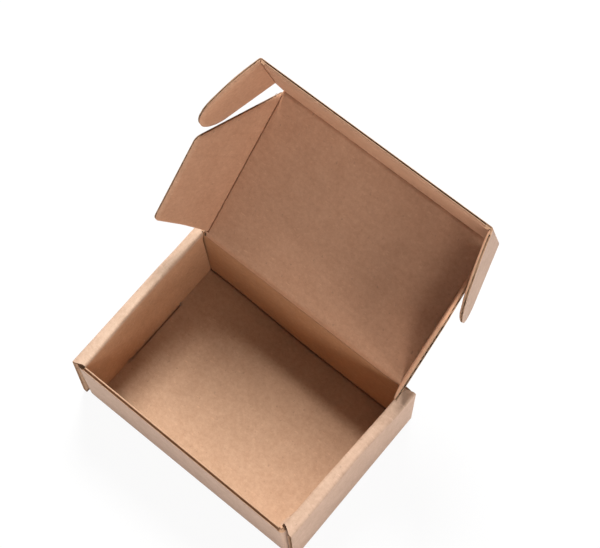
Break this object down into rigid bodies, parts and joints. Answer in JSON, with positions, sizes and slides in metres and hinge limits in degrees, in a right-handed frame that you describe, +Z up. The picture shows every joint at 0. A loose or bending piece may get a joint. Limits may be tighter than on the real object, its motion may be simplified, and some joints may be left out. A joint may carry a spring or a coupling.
{
  "type": "mailer box",
  "caption": "Plain kraft corrugated mailer box standing open, with rolled-over side walls, a floor, a lid with dust flaps, and a tuck flap with locking ears",
  "frame": {"origin": "middle of the underside of the tray", "axes": "+X along the lid's hinge, to the right as seen from the front; +Y from the front wall to the hinge at the back; +Z up"},
  "size_m": [0.2021, 0.2042, 0.2015],
  "materials": {
    "kraft_board": "matte"
  },
  "bodies": {
    "tray": {"tray": "kraft_board"},
    "lid_panel": {"lid_panel": "kraft_board"},
    "tuck_flap": {"tuck_flap": "kraft_board"},
    "left_ear": {"left_ear": "kraft_board"},
    "right_ear": {"right_ear": "kraft_board"},
    "left_dust_flap": {"left_dust_flap": "kraft_board"},
    "right_dust_flap": {"right_dust_flap": "kraft_board"}
  },
  "joints": [
    {"name": "lid_hinge", "type": "hinge", "parent": "tray", "child": "lid_panel", "pos_m": [0, 0.05935, 0.0666], "axis": [-1, 0, 0], "range_deg": [-60.5, 43.5]},
    {"name": "tuck_crease", "type": "hinge", "parent": "lid_panel", "child": "tuck_flap", "pos_m": [0, 0.14204, 0.14507], "axis": [-1, 0, 0], "range_deg": [-5, 60]},
    {"name": "left_dust_crease", "type": "hinge", "parent": "lid_panel", "child": "left_dust_flap", "pos_m": [-0.07975, 0.09997, 0.10515], "axis": [0, -0.7254, -0.6884], "range_deg": [-20, 0.5]},
    {"name": "right_dust_crease", "type": "hinge", "parent": "lid_panel", "child": "right_dust_flap", "pos_m": [0.07975, 0.09997, 0.10515], "axis": [0, 0.7254, 0.6884], "range_deg": [-12, 4]},
    {"name": "left_ear_crease", "type": "hinge", "parent": "tuck_flap", "child": "left_ear", "pos_m": [-0.08515, 0.13414, 0.17799], "axis": [0, 0.2334, -0.9724], "range_deg": [-0.5, 73.5]},
    {"name": "right_ear_crease", "type": "hinge", "parent": "tuck_flap", "child": "right_ear", "pos_m": [0.08515, 0.13414, 0.17799], "axis": [0, -0.2334, 0.9724], "range_deg": [-3, 74.5]}
  ]
}
